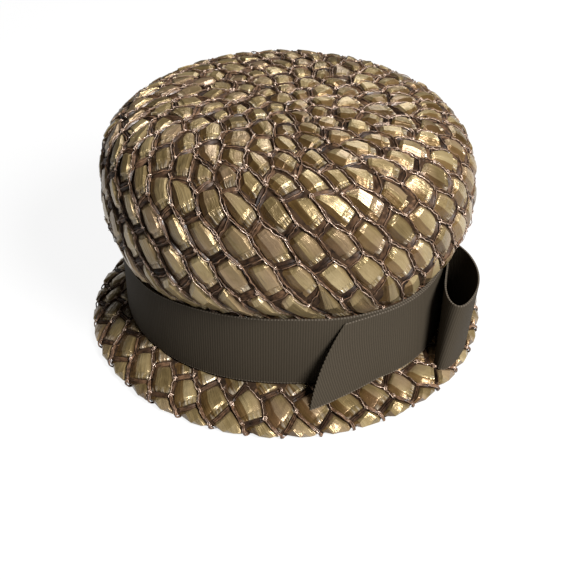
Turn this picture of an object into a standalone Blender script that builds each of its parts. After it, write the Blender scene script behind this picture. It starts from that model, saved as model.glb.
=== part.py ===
"""Woven straw bucket hat: bell crown, short turned brim, ribbon band and a flat side bow.

Metres, +Z up, front at -Y. The rim of the brim stands on z = 0.
"""
import math

import bmesh
import bpy

# Head opening, measured inside the brim's collar
HEAD_HALF_WIDTH = 0.0862
HEAD_HALF_DEPTH = 0.0830

# Crown
CROWN_WALL = 0.0025
CROWN_SWELL = 0.0110        # how far the bell stands out past the wall behind the ribbon
SWELL_RISE = 0.0170         # from the ribbon's top edge up to the widest place
DOME_RISE = 0.0600          # from the widest place up to the top
DOME_SQUARENESS = 3.9       # 2 is an ellipse, higher is flatter on top with rounder shoulders
CROWN_LEAN = 0.0015         # the bell sits this far to the side

# Brim
BRIM_WALL = 0.0025
BRIM_DROP = 0.0160          # height of the crown's foot over the rim's underside
BRIM_SIDE = 0.0207          # width past the ribbon at the sides
BRIM_FRONT = 0.0280         # width past the ribbon at front and back
SLOPE_BEND = 1.15           # 1 is a straight slope, higher is rounder
ROLL_RADIUS = 0.0030        # turned edge
ROLL_FOOT = 0.0016          # flat width that it stands on
COLLAR_WALL = 0.0022
COLLAR_HEIGHT = 0.0180

# Ribbon
RIBBON_WIDTH = 0.0400
RIBBON_THICKNESS = 0.0009

# Bow: directions are degrees from the front towards the wearer's left
TAIL_ROOT_ANGLE = 88.0
TAIL_TIP_ANGLE = 6.5
TAIL_CORNER_ANGLE = 19.0
TAIL_TIP_STAND = 0.0150     # lower edge's distance from the ribbon at the tip
TAIL_BODY_STAND = 0.0060    # and along the middle
LOOP_ROOT_ANGLE = 86.0
LOOP_NOSE_ANGLE = 52.0
LOOP_REACH = 0.0210         # how far the lower edge stands out from the ribbon
LOOP_SPLAY = 0.0030         # the upper edge stands out past the lower one

# The loop seen from above, from its inner leg round the nose to its outer leg:
# shares of the way from root to nose, and of the way from the tail out to the reach
LOOP_PLAN = [(0.00, 0.00), (0.20, 0.02), (0.45, 0.05), (0.68, 0.14), (0.85, 0.30),
             (0.96, 0.52), (1.00, 0.75), (0.97, 0.93), (0.86, 1.00), (0.66, 0.97),
             (0.44, 0.83), (0.24, 0.58), (0.10, 0.28), (0.00, 0.00)]

GAP = 0.0003
SPIN_STEPS = 64
RIBBON_STEPS = 20

# Walls that follow from the sizes above
depthLoss = HEAD_HALF_WIDTH - HEAD_HALF_DEPTH
collarOuter = HEAD_HALF_WIDTH + COLLAR_WALL
crownInner = collarOuter + GAP
crownOuter = crownInner + CROWN_WALL
bandInner = crownOuter + GAP
bandOuter = bandInner + RIBBON_THICKNESS
footZ = BRIM_DROP + GAP
bandTopZ = footZ + RIBBON_WIDTH
widestZ = bandTopZ + SWELL_RISE
slopeRun = BRIM_SIDE - ROLL_RADIUS
slopeEnd = bandOuter + slopeRun


def clearScene():
    for item in list(bpy.data.objects):
        bpy.data.objects.remove(item, do_unlink=True)


def makeMaterial(name, color, roughness, metallic=0.0):
    material = bpy.data.materials.new(name)
    material.use_nodes = True
    shader = material.node_tree.nodes["Principled BSDF"]
    shader.inputs["Base Color"].default_value = (*color, 1.0)
    shader.inputs["Roughness"].default_value = roughness
    shader.inputs["Metallic"].default_value = metallic
    material.diffuse_color = (*color, 1.0)
    return material


def makeObject(name, bm, material, collection, sharpAngle=40.0):
    mesh = bpy.data.meshes.new(name)
    bm.to_mesh(mesh)
    bm.free()
    mesh.materials.append(material)
    mesh.shade_smooth()
    mesh.set_sharp_from_angle(angle=math.radians(sharpAngle))
    obj = bpy.data.objects.new(name, mesh)
    collection.objects.link(obj)
    return obj


def addSolidify(obj, thickness, offset):
    modifier = obj.modifiers.new("Wall", "SOLIDIFY")
    modifier.thickness = thickness
    modifier.offset = offset
    modifier.use_even_offset = True


def spinProfile(points, closed):
    """Turn a profile of (radius, height) points around Z."""
    bm = bmesh.new()
    verts = [bm.verts.new((radius, 0.0, height)) for radius, height in points]
    ring = verts + verts[:1] if closed else verts
    edges = [bm.edges.new(pair) for pair in zip(ring, ring[1:])]
    bmesh.ops.spin(bm, geom=verts + edges, cent=(0, 0, 0), axis=(0, 0, 1),
                   angle=math.tau, steps=SPIN_STEPS, use_duplicate=False)
    bmesh.ops.remove_doubles(bm, verts=bm.verts, dist=0.00001)
    bmesh.ops.recalc_face_normals(bm, faces=bm.faces)
    return bm


def frontReach(radius):
    """Half depth of the oval whose half width is radius."""
    if radius <= bandOuter:
        return radius - depthLoss
    run = min(radius, slopeEnd) - bandOuter
    stretch = (BRIM_FRONT - ROLL_RADIUS) / slopeRun
    return bandOuter - depthLoss + run * stretch + max(radius - slopeEnd, 0.0)


def slopeHeight(share):
    """Top of the brim, from the crown's foot (0) out to the turned edge (1)."""
    edgeZ = 2 * ROLL_RADIUS
    return edgeZ + (BRIM_DROP - edgeZ) * (1 - share ** SLOPE_BEND)


def brimHeight(x, y):
    """Top of the brim under a point outside the ribbon."""
    near, far = 0.0, 1.0
    for _ in range(24):
        share = (near + far) / 2
        radius = bandOuter + slopeRun * share
        if (x / radius) ** 2 + (y / frontReach(radius)) ** 2 > 1:
            near = share
        else:
            far = share
    return slopeHeight(near)


def aroundBand(angle, stand, height):
    """Point at a distance outside the ribbon band."""
    turn = math.radians(angle)
    return ((bandOuter + stand) * math.sin(turn),
            -(bandOuter - depthLoss + stand) * math.cos(turn), height)


def ease(share):
    share = min(max(share, 0.0), 1.0)
    return share * share * (3 - 2 * share)


def crownProfile():
    points = []
    widest = crownOuter + CROWN_SWELL
    for step in range(15):
        turn = math.radians(90 - 90 * step / 14)
        up, out = math.sin(turn), math.cos(turn)
        if step == 0:
            out = 0.0
        reach = (up ** DOME_SQUARENESS + out ** DOME_SQUARENESS) ** (-1 / DOME_SQUARENESS)
        points.append((widest * reach * out, widestZ + DOME_RISE * reach * up))
    for step in range(1, 5):
        turn = math.radians(90 * (1 - step / 4))
        points.append((crownOuter + CROWN_SWELL * math.sin(turn), widestZ - SWELL_RISE * step / 4))
    points.append((crownOuter, footZ))
    return points


def addCrown(material, collection):
    bm = spinProfile(crownProfile(), closed=False)
    squash = (crownOuter - depthLoss) / crownOuter
    for vert in bm.verts:
        vert.co.y *= squash
        vert.co.x += CROWN_LEAN * ease((vert.co.z - bandTopZ) / SWELL_RISE)
    crown = makeObject("crown", bm, material, collection)
    addSolidify(crown, CROWN_WALL, -1.0)
    return crown


def brimProfile():
    """Closed section of collar, slope and turned edge, with radii as on the side."""
    points = [(collarOuter, BRIM_DROP + COLLAR_HEIGHT), (collarOuter, BRIM_DROP)]
    points += [(bandOuter + slopeRun * step / 6, slopeHeight(step / 6)) for step in range(7)]
    for step in range(1, 7):
        turn = math.radians(90 - 30 * step)
        points.append((slopeEnd + ROLL_RADIUS * math.cos(turn), ROLL_RADIUS * (1 + math.sin(turn))))
    points.append((slopeEnd - ROLL_FOOT, 0.0))
    points.append((slopeEnd - ROLL_RADIUS, ROLL_RADIUS))
    steepness = math.hypot(slopeRun, BRIM_DROP - 2 * ROLL_RADIUS) / slopeRun
    underRun = slopeRun - 1.3 * ROLL_RADIUS
    for step in range(4):
        share = underRun / slopeRun * (1 - step / 4)
        points.append((bandOuter + slopeRun * share, slopeHeight(share) - BRIM_WALL * steepness))
    points.append((collarOuter, BRIM_DROP - BRIM_WALL))
    points.append((HEAD_HALF_WIDTH, BRIM_DROP - BRIM_WALL * 0.4))
    points.append((HEAD_HALF_WIDTH, BRIM_DROP + COLLAR_HEIGHT))
    return points


def addBrim(material, collection):
    bm = spinProfile(brimProfile(), closed=True)
    for vert in bm.verts:
        radius = math.hypot(vert.co.x, vert.co.y)
        vert.co.y *= frontReach(radius) / radius
    return makeObject("brim", bm, material, collection)


def addBand(material, collection):
    bm = spinProfile([(bandInner, bandTopZ), (bandInner, footZ)], closed=False)
    for vert in bm.verts:
        vert.co.y *= (bandInner - depthLoss) / bandInner
    band = makeObject("ribbon_band", bm, material, collection)
    addSolidify(band, RIBBON_THICKNESS, 1.0)
    return band


def tailStand(angle):
    """How far the tail's lower edge stands off the ribbon band."""
    toTip = (TAIL_ROOT_ANGLE - angle) / (TAIL_ROOT_ANGLE - TAIL_TIP_ANGLE)
    body = TAIL_BODY_STAND * ease(toTip / 0.45)
    flare = (TAIL_TIP_STAND - TAIL_BODY_STAND) * ease((toTip - 0.5) / 0.5)
    return GAP + body + flare


def ribbonEdges(lowAngle, lowStand, highAngle, highStand):
    """Lower edge on the brim and upper edge one ribbon width away from it."""
    x, y, _ = aroundBand(lowAngle, max(lowStand - RIBBON_THICKNESS, 0.0), 0.0)
    low = aroundBand(lowAngle, lowStand, brimHeight(x, y) + GAP)
    x, y, _ = aroundBand(highAngle, max(lowStand - RIBBON_THICKNESS, 0.0), 0.0)
    rise = math.sqrt(RIBBON_WIDTH ** 2 - (highStand - lowStand) ** 2)
    return low, aroundBand(highAngle, highStand, brimHeight(x, y) + GAP + rise)


def addStrip(name, stations, rows, material, collection):
    """Ribbon from stations of (lower point, upper point), thickened away from the crown."""
    bm = bmesh.new()
    grid = []
    for low, high in stations:
        column = []
        for row in range(rows + 1):
            share = row / rows
            column.append(bm.verts.new([a + (b - a) * share for a, b in zip(low, high)]))
        grid.append(column)
    for left, right in zip(grid, grid[1:]):
        for row in range(rows):
            bm.faces.new((left[row], left[row + 1], right[row + 1], right[row]))
    strip = makeObject(name, bm, material, collection, sharpAngle=50.0)
    addSolidify(strip, RIBBON_THICKNESS, 1.0)
    return strip


def addTail(material, collection):
    stations = []
    for step in range(RIBBON_STEPS + 1):
        share = step / RIBBON_STEPS
        lowAngle = TAIL_ROOT_ANGLE + (TAIL_TIP_ANGLE - TAIL_ROOT_ANGLE) * share
        highAngle = TAIL_ROOT_ANGLE + (TAIL_CORNER_ANGLE - TAIL_ROOT_ANGLE) * share
        stations.append(ribbonEdges(lowAngle, tailStand(lowAngle), highAngle, GAP))
    return addStrip("bow_tail", stations, 3, material, collection)


def smoothRoute(points, steps):
    """Points along a smooth curve through the given ones, with a few steps between each two."""
    route = []
    padded = [points[0]] + points + [points[-1]]
    for before, start, end, after in zip(padded, padded[1:], padded[2:], padded[3:]):
        for step in range(steps):
            t = step / steps
            route.append([(2 * b + (c - a) * t + (2 * a - 5 * b + 4 * c - d) * t ** 2
                           + (3 * b - a - 3 * c + d) * t ** 3) / 2
                          for a, b, c, d in zip(before, start, end, after)])
    return route + [list(points[-1])]


def addLoop(material, collection):
    stations = []
    route = smoothRoute(LOOP_PLAN, 3)
    layer = RIBBON_THICKNESS + GAP
    for step, (toNose, outShare) in enumerate(route):
        angle = LOOP_ROOT_ANGLE + (LOOP_NOSE_ANGLE - LOOP_ROOT_ANGLE) * toNose
        lowBase, highBase = tailStand(angle) + layer, GAP + layer
        legs = 2 * layer if 2 * step > len(route) else 0.0
        low = lowBase + max(outShare * (LOOP_REACH - lowBase), legs)
        high = highBase + max(outShare * (LOOP_REACH + LOOP_SPLAY - highBase), legs)
        stations.append(ribbonEdges(angle, low, angle, high))
    return addStrip("bow_loop", stations, 2, material, collection)


def main():
    clearScene()
    hat = bpy.data.collections.new("bucket_hat")
    bpy.context.scene.collection.children.link(hat)
    straw = makeMaterial("straw", (0.40, 0.31, 0.17), 0.35)
    ribbon = makeMaterial("ribbon", (0.075, 0.060, 0.045), 0.75)
    addCrown(straw, hat)
    addBrim(straw, hat)
    addBand(ribbon, hat)
    addTail(ribbon, hat)
    addLoop(ribbon, hat)


main()
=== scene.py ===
import math
import random
from bisect import bisect_right

import bmesh
import bpy
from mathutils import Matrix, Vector


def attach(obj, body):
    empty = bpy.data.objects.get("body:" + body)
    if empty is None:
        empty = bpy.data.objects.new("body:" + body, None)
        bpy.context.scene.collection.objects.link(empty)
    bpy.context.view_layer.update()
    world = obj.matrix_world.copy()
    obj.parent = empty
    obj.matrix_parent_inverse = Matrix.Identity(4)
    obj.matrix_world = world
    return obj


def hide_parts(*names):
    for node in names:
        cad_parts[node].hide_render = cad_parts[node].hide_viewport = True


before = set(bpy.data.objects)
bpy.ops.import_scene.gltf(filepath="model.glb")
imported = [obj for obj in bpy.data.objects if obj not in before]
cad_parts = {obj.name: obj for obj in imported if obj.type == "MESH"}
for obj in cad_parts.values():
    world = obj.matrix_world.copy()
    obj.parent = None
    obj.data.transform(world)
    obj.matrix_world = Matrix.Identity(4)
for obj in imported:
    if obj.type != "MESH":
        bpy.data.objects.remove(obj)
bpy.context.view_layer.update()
dice = random.Random(11)
print("frame loaded:", ", ".join(sorted(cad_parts)))

# the hat's form (metres); the foot of the crown is 4 mm lower than in the solids, as in the photograph
form = {
    "headHalfWidth": 0.0862,
    "depthLoss": 0.0032,        # half width minus half depth
    "collarTop": 0.0340,
    "collarBend": [(0.0886, 0.0023), (0.0868, 0.0018)],     # radius, and depth under the brim's top
    "collarFoot": 0.0004,
    "crownWall": 0.0912,        # outside of the crown behind the ribbon
    "swell": 0.0110,            # how far the crown bells out over the ribbon
    "swellRise": 0.0170,
    "domeRise": 0.0600,
    "squareness": 3.9,          # of the dome's section; 2 is an ellipse
    "lean": 0.0015,             # the crown's belly, towards the bow
    "topShift": 0.0032,         # the crown's top, away from the bow
    "shiftFrom": 0.030, "shiftRise": 0.045,
    "wallTop": 0.0563,          # where the crown starts to bell out
    "dipFade": 0.012,           # above the belly's line, where the ribbon's dips have faded
    "footZ": 0.0121,
    "bandOuter": 0.0924,
    "bandThickness": 0.0009,
    "bandTop": 0.0540,
    "brimTop": 0.0118,
    "slopeRunSide": 0.0177,
    "slopeRunFront": 0.0274,
    "slopeRunBack": 0.0212,
    "slopeBend": 1.15,
    "rollRadius": 0.0030,
    "footFlat": 0.0016,         # flat under the turned edge
    "undersideShare": 0.78,     # of the slope that the underside follows
    "brimWall": 0.0025,
    "brimLap": 0.0030,          # how far the brim runs in behind the ribbon
    "lowest": 0.0002,
    "gap": 0.0003,
}
# the ribbon's line round the hat, by angle in degrees (the bow is at 90): how far the wall stands out
# there, how far the upper and the lower edge dip, how far the crown is tucked in above the ribbon, how
# far it falls in from there up, and how much shorter the brim is
ribbonLine = {
    "out": [(-180, 0.0), (-90, 0.0), (-45, 0.0020), (0, 0.0), (42, 0.0020), (68, 0.0), (88, -0.0028),
            (115, -0.0015), (150, 0.0), (180, 0.0)],
    "topDip": [(-180, 0.0), (-120, 0.0015), (-60, 0.0034), (-45, 0.0028), (-30, 0.0005), (5, 0.0002),
               (16, 0.0020), (36, 0.0033), (59, 0.0052), (100, 0.0035), (180, 0.0)],
    "footDip": [(-180, 0.0), (-65, -0.0024), (-48, -0.0020), (-28, 0.0), (0, 0.0), (27, 0.0011), (47, 0.0023),
                (65, 0.0028), (110, 0.0015), (180, 0.0)],
    "tuck": [(-180, 0.0), (-140, 0.0), (-95, 0.0042), (-70, 0.0030), (-40, 0.0), (35, 0.0), (70, 0.0025),
             (95, 0.0040), (150, 0.0), (180, 0.0)],
    "hollow": [(-180, 0.0), (-155, 0.0006), (-125, 0.0026), (-105, 0.0023), (-85, 0.0008), (-60, 0.0),
               (180, 0.0)],
    "brimShort": [(-180, 0.0), (-140, 0.0020), (-112, 0.0040), (-88, 0.0014), (-72, 0.0), (180, 0.0)],
}
roundedOver = 8             # degrees on either side that take the corners off these lines
weldReach = 0.00002


def ease(share):
    share = min(max(share, 0.0), 1.0)
    return share * share * (3 - 2 * share)


def mix(low, high, share):
    return low + (high - low) * share


def cornerLineAt(points, degrees):
    degrees = (degrees + 180) % 360 - 180
    for (a0, v0), (a1, v1) in zip(points, points[1:]):
        if degrees <= a1:
            return mix(v0, v1, (degrees - a0) / (a1 - a0))
    return points[-1][1]


def roundLine(points):
    shifts = range(-roundedOver, roundedOver + 1)
    return [sum(cornerLineAt(points, step + shift) for shift in shifts) / len(shifts) for step in range(361)]


smoothLines = {name: roundLine(points) for name, points in ribbonLine.items()}


def lineAt(name, angle):
    place = math.degrees(angle) % 360
    if place >= 360:            # a tiny negative angle comes out as a full turn
        return 0.0
    line, start = smoothLines[name], int(place)
    return mix(line[start], line[start + 1], place % 1)


# paths over the surface: the distance along a profile gives its radius, its height and the way out
def tracePath(points):
    lengths = [0.0]
    for (r0, z0), (r1, z1) in zip(points, points[1:]):
        lengths.append(lengths[-1] + math.hypot(r1 - r0, z1 - z0))
    return {"points": points, "lengths": lengths, "end": lengths[-1]}


def pathPoint(path, t):
    t = min(max(t, 0.0), path["end"])
    i = min(bisect_right(path["lengths"], t), len(path["lengths"]) - 1) - 1
    start, stop = path["lengths"][i], path["lengths"][i + 1]
    share = (t - start) / (stop - start) if stop > start else 0.0
    (r0, z0), (r1, z1) = path["points"][i], path["points"][i + 1]
    return mix(r0, r1, share), mix(z0, z1, share)


def pathFrame(path, t, probe=0.0012):
    t = min(max(t, 0.0), path["end"])
    radius, height = pathPoint(path, t)
    r0, z0 = pathPoint(path, t - probe)
    r1, z1 = pathPoint(path, t + probe)
    step = math.hypot(r1 - r0, z1 - z0)
    return radius, height, -(z1 - z0) / step, (r1 - r0) / step


domeSteps, arcSteps = 160, 24


def crownPoints():
    points = []
    widest = form["crownWall"] + form["swell"]
    middle = form["wallTop"] + form["swellRise"]
    power = form["squareness"]
    for step in range(domeSteps + 1):
        turn = math.radians(90 - 90 * step / domeSteps)
        up, out = math.sin(turn), math.cos(turn) if step else 0.0
        reach = (up ** power + out ** power) ** (-1 / power)
        points.append((widest * reach * out, middle + form["domeRise"] * reach * up))
    for step in range(1, arcSteps + 1):
        turn = math.radians(90 * (1 - step / arcSteps))
        down = form["swellRise"] * step / arcSteps
        points.append((form["crownWall"] + form["swell"] * math.sin(turn), middle - down))
    points.append((form["crownWall"], form["footZ"]))
    return points


def slopeHeight(share):
    edge = 2 * form["rollRadius"]
    return edge + (form["brimTop"] - edge) * (1 - share ** form["slopeBend"])


def brimPoints():
    # over the slope, round the turned edge, back under it and up the collar
    start, run, roll, top = form["bandOuter"], form["slopeRunSide"], form["rollRadius"], form["brimTop"]
    slopeEnd = start + run
    points = [(start - form["brimLap"], top)]
    for step in range(arcSteps + 1):
        points.append((start + run * step / arcSteps, slopeHeight(step / arcSteps)))
    for step in range(1, arcSteps + 1):
        turn = math.radians(90 - 180 * step / arcSteps)
        points.append((slopeEnd + roll * math.cos(turn), roll * (1 + math.sin(turn))))
    points.append((slopeEnd - form["footFlat"], 0.0))
    steep = math.hypot(run, top - 2 * roll) / run
    undersideSteps = 12
    for step in range(undersideSteps + 1):
        share = form["undersideShare"] * (1 - step / undersideSteps)
        points.append((start + run * share, slopeHeight(share) - form["brimWall"] * steep))
    points += [(radius, top - depth) for radius, depth in form["collarBend"]]
    points.append((form["headHalfWidth"], top - form["collarFoot"]))
    points.append((form["headHalfWidth"], form["collarTop"]))
    return points


crownPath = tracePath(crownPoints())
brimPath = tracePath(brimPoints())


def placeOnCrown(angle, t, lift):
    radius, height, outward, upward = pathFrame(crownPath, t)
    radius, height = radius + outward * lift, height + upward * lift
    above = height - form["wallTop"]
    squash = 1 - form["depthLoss"] / form["crownWall"]
    shift = form["topShift"] * ease((above - form["shiftFrom"]) / form["shiftRise"])
    lean = form["lean"] * ease(above / form["swellRise"]) - shift
    toWidest = min(max(above / form["swellRise"], 0.0), 1.0)
    out = lineAt("out", angle) * (1 - ease(toWidest))
    out -= lineAt("tuck", angle) * 4 * toWidest * (1 - toWidest)
    out -= lineAt("hollow", angle) * ease(toWidest) * min(radius / form["crownWall"], 1.0)
    upShare = min(max((height - form["footZ"]) / (form["bandTop"] - form["footZ"]), 0.0), 1.0)
    dip = mix(lineAt("footDip", angle), lineAt("topDip", angle), upShare)
    down = dip * (1 - ease(above / (form["swellRise"] + form["dipFade"])))
    x, y = (radius + out) * math.sin(angle) + lean, -(radius * squash + out) * math.cos(angle)
    return (x, y, height - down)


def frontReach(radius, end="slopeRunFront"):
    if radius <= form["bandOuter"]:
        return radius - form["depthLoss"]
    run = min(radius - form["bandOuter"], form["slopeRunSide"])
    over = max(radius - form["bandOuter"] - form["slopeRunSide"], 0.0)
    return form["bandOuter"] - form["depthLoss"] + run * form[end] / form["slopeRunSide"] + over


def placeOnBrim(angle, t, lift):
    radius, height, outward, upward = pathFrame(brimPath, t)
    radius, height = radius + outward * lift, height + upward * lift
    inner = 1 - min(max((radius - form["bandOuter"]) / form["slopeRunSide"], 0.0), 1.0)
    out = lineAt("out", angle) * inner - lineAt("brimShort", angle) * (1 - inner)
    reach = frontReach(radius, "slopeRunFront" if math.cos(angle) > 0 else "slopeRunBack")
    return ((radius + out) * math.sin(angle), -(reach + out) * math.cos(angle),
            max(height - lineAt("footDip", angle) * inner, form["lowest"]))


# layout of the weave: strips run round the hat on a slant, each cell is one puff of strip
weaveLayout = {
    "slant": 38.0,                  # strips against the way down the hat, in degrees
    "brimSlant": 43.0,
    "domeSlant": 22.0,              # and on the flat of the crown
    "slantFrom": 0.045, "slantRun": 0.050,
    "crownCell": 0.0132,            # cell width on the dome
    "smallestRing": 0.003, "widestCell": 0.019, "endPitch": 0.012,
    "wallStrips": 38,               # strips round the wall of the crown, and round the brim
    "wallFrom": 0.09,               # from here down every row has the same count
    "crownRows": [0.0, 0.0120, 0.0245, 0.0375, 0.0510, 0.0655, 0.0805, 0.0965, 0.1145, 0.1324, 0.1510,
                  0.1854, 0.2034],
    "phaseRow": 8,
    "crownPhase": math.radians(-4.3),   # middle of a cell in that row
    "crownTurn": math.radians(8.0),     # each row of the wall starts this much further round
    "brimRows": [(0.0015, 0.0125), (0.0140, 0.0125), (0.0270, 0.0130), (0.0400, 0.0125), (0.0520, 0.0120),
                 (0.0640, 0.0120)],
    "brimPhase": math.radians(2.0),
    "brimTurn": math.radians(5.6),
    "stretch": 0.84,                # lower makes straighter strips with blunter ends
    "jitter": 0.075, "domeJitter": 2.7, "brimJitter": 1.5,    # the last two times the first
    "neighbours": 1.9,              # cell sizes away that still shape a cell
    "roomAside": 0.95,
    "shortestEdge": 0.0015, "endLean": 1.15,    # which cell edges get a strap, and which of them are ends
    "nearlyStraight": 0.08,         # a wall that tapers less is laid flat as a cylinder
}


def layCrownSites():
    sites = []
    rows = weaveLayout["crownRows"]
    for index, t in enumerate(rows):
        radius = pathPoint(crownPath, t)[0]
        onWall = t > weaveLayout["wallFrom"]
        if onWall:
            count = weaveLayout["wallStrips"]
            phase = weaveLayout["crownPhase"] + (index - weaveLayout["phaseRow"]) * weaveLayout["crownTurn"]
        else:
            count = max(1, round(math.tau * radius / weaveLayout["crownCell"]))
            phase = dice.uniform(0, math.tau)
        wobble = weaveLayout["jitter"] * (1.0 if onWall else weaveLayout["domeJitter"])
        between = 0 < index < len(rows) - 1
        pitch = (rows[index + 1] - rows[index - 1]) / 2 if between else weaveLayout["endPitch"]
        towardsWall = ease((t - weaveLayout["slantFrom"]) / weaveLayout["slantRun"])
        slant = mix(weaveLayout["domeSlant"], weaveLayout["slant"], towardsWall)
        width = min(math.tau * max(radius, weaveLayout["smallestRing"]) / count, weaveLayout["widestCell"])
        for k in range(count):
            sites.append({
                "angle": phase + math.tau * (k + dice.uniform(-wobble, wobble)) / count,
                "t": t + dice.uniform(-wobble, wobble) * pitch * (index > 0),
                "slant": slant, "width": width, "pitch": pitch, "pole": index == 0})
    return sites


def layBrimSites():
    sites = []
    count = weaveLayout["wallStrips"]
    wobble = weaveLayout["jitter"] * weaveLayout["brimJitter"]
    for index, (t, pitch) in enumerate(weaveLayout["brimRows"]):
        radius = pathPoint(brimPath, t)[0]
        phase = weaveLayout["brimPhase"] + index * weaveLayout["brimTurn"]
        for k in range(count):
            sites.append({
                "angle": phase + math.tau * (k + dice.uniform(-wobble, wobble)) / count,
                "t": t + dice.uniform(-wobble, wobble) * pitch,
                "slant": weaveLayout["brimSlant"], "width": math.tau * radius / count,
                "pitch": pitch, "pole": False})
    return sites


def siteFrame(path, site, probe=0.004):
    r0, r1 = pathPoint(path, site["t"] - probe)[0], pathPoint(path, site["t"] + probe)[0]
    ahead = min(site["t"] + probe, path["end"]) - max(site["t"] - probe, 0.0)
    site["r"] = max(pathPoint(path, site["t"])[0], 0.0005)
    site["cone"] = (r1 - r0) / ahead
    site["sin"], site["cos"] = math.sin(math.radians(site["slant"])), math.cos(math.radians(site["slant"]))
    across, along = site["width"] * site["cos"], site["pitch"] / site["cos"]
    site["squeeze"] = weaveLayout["stretch"] * across / along
    site["across"], site["along"] = across, along


def unroll(site, angle, t):
    # the surface laid flat round the site: x round the hat, y down the path
    turn = (angle - site["angle"] + math.pi) % math.tau - math.pi
    down = t - site["t"]
    if site["pole"]:
        return t * math.sin(angle), -t * math.cos(angle)
    if abs(site["cone"]) < weaveLayout["nearlyStraight"]:
        return turn * site["r"], down
    apex = site["r"] / site["cone"]
    swing = turn * site["cone"]
    return (apex + down) * math.sin(swing), (apex + down) * math.cos(swing) - apex


def rollUp(site, x, y):
    if site["pole"]:
        return math.atan2(x, -y), math.hypot(x, y)
    if abs(site["cone"]) < weaveLayout["nearlyStraight"]:
        return site["angle"] + x / site["r"], site["t"] + y
    apex = site["r"] / site["cone"]
    sign = 1.0 if apex > 0 else -1.0
    far = sign * math.hypot(x, apex + y)
    return site["angle"] + math.atan2(sign * x, sign * (apex + y)) / site["cone"], site["t"] + far - apex


def clipCell(corners, px, py):
    # keep the side of the bisector that holds the site; every corner carries the label of the edge after it
    limit = (px * px + py * py) / 2
    kept = []
    count = len(corners)
    for i in range(count):
        (ax, ay), label = corners[i]
        (bx, by), _ = corners[(i + 1) % count]
        da, db = ax * px + ay * py - limit, bx * px + by * py - limit
        if da <= 0:
            kept.append(((ax, ay), label))
            if db > 0:
                s = da / (da - db)
                kept.append(((mix(ax, bx, s), mix(ay, by, s)), (px, py)))
        elif db <= 0:
            s = da / (da - db)
            kept.append(((mix(ax, bx, s), mix(ay, by, s)), label))
    return kept


def shapeCells(path, sites):
    for site in sites:
        siteFrame(path, site)
    for site in sites:
        reach = weaveLayout["neighbours"] * max(site["across"], site["along"])
        side = site["across"] * weaveLayout["roomAside"]
        box = [(-side, -side), (side, -side), (side, side), (-side, side)]
        corners = [(corner, None) for corner in box]
        for other in sites:
            if other is site or abs(other["t"] - site["t"]) > reach:
                continue
            x, y = unroll(site, other["angle"], other["t"])
            if x * x + y * y > reach * reach:
                continue
            u, v = x * site["sin"] + y * site["cos"], x * site["cos"] - y * site["sin"]
            corners = clipCell(corners, u * site["squeeze"], v)
            if len(corners) < 3:
                break
        site["corners"] = [(c[0] / site["squeeze"], c[1]) for c, _ in corners]
        site["labels"] = [label for _, label in corners]
        site["tint"] = dice.random()
    return [site for site in sites if len(site["corners"]) > 3]


def localToSurface(site, u, v):
    x, y = u * site["sin"] + v * site["cos"], u * site["cos"] - v * site["sin"]
    return rollUp(site, x, y)


def splitCell(site):
    # the two long sides of a cell, each from its upper end to its lower end
    corners = site["corners"]
    count = len(corners)

    def endEdge(sign):
        return max(range(count), key=lambda i: sign * (corners[i][0] + corners[(i + 1) % count][0]))

    upper, lower = endEdge(-1), endEdge(1)
    chains = []
    for start, stop in ((lower, upper), (upper, lower)):
        chain, i = [], (start + 1) % count
        while True:
            chain.append(corners[i])
            if i == stop:
                break
            i = (i + 1) % count
        chains.append(chain)
    pair = [chains[0][::-1], chains[1]]   # both now run from the upper end to the lower end
    pair.sort(key=lambda chain: sum(point[1] for point in chain) / len(chain))
    return pair


def alongChain(chain, share):
    lengths = [0.0]
    for (x0, y0), (x1, y1) in zip(chain, chain[1:]):
        lengths.append(lengths[-1] + math.hypot(x1 - x0, y1 - y0))
    goal = share * lengths[-1]
    for i in range(len(chain) - 1):
        if goal <= lengths[i + 1] or i == len(chain) - 2:
            span = max(lengths[i + 1] - lengths[i], 1e-9)
            s = (goal - lengths[i]) / span
            return mix(chain[i][0], chain[i + 1][0], s), mix(chain[i][1], chain[i + 1][1], s)
    return chain[0]


print("form and weave layout ready")


# modelling helpers
def onlySelect(obj):
    bpy.ops.object.select_all(action="DESELECT")
    obj.select_set(True)
    bpy.context.view_layer.objects.active = obj


def selectWhere(obj, test):
    # in edit mode: select the vertices for which test(x, y, z) holds
    sheet = bmesh.from_edit_mesh(obj.data)
    for face in sheet.faces:
        face.select = False
    for edge in sheet.edges:
        edge.select = False
    for vert in sheet.verts:
        vert.select = bool(test(vert.co.x, vert.co.y, vert.co.z))
    bmesh.update_edit_mesh(obj.data)


def nearLine(axis, line):
    # vertices on one line of a blank's grid
    return lambda *place: abs(place[axis] - line) < 0.02


def takeBlank(obj):
    # a modelled blank, kept as plain lists and taken out of the scene; its UV places stay even
    mesh = obj.data
    uvs = [(0.0, 0.0)] * len(mesh.vertices)
    for loop in mesh.loops:
        uvs[loop.vertex_index] = tuple(mesh.uv_layers.active.data[loop.index].uv)
    blank = {"verts": [tuple(vert.co) for vert in mesh.vertices], "uvs": uvs,
             "faces": [tuple(face.vertices) for face in mesh.polygons]}
    bpy.data.objects.remove(obj, do_unlink=True)
    bpy.data.meshes.remove(mesh)
    return blank


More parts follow.
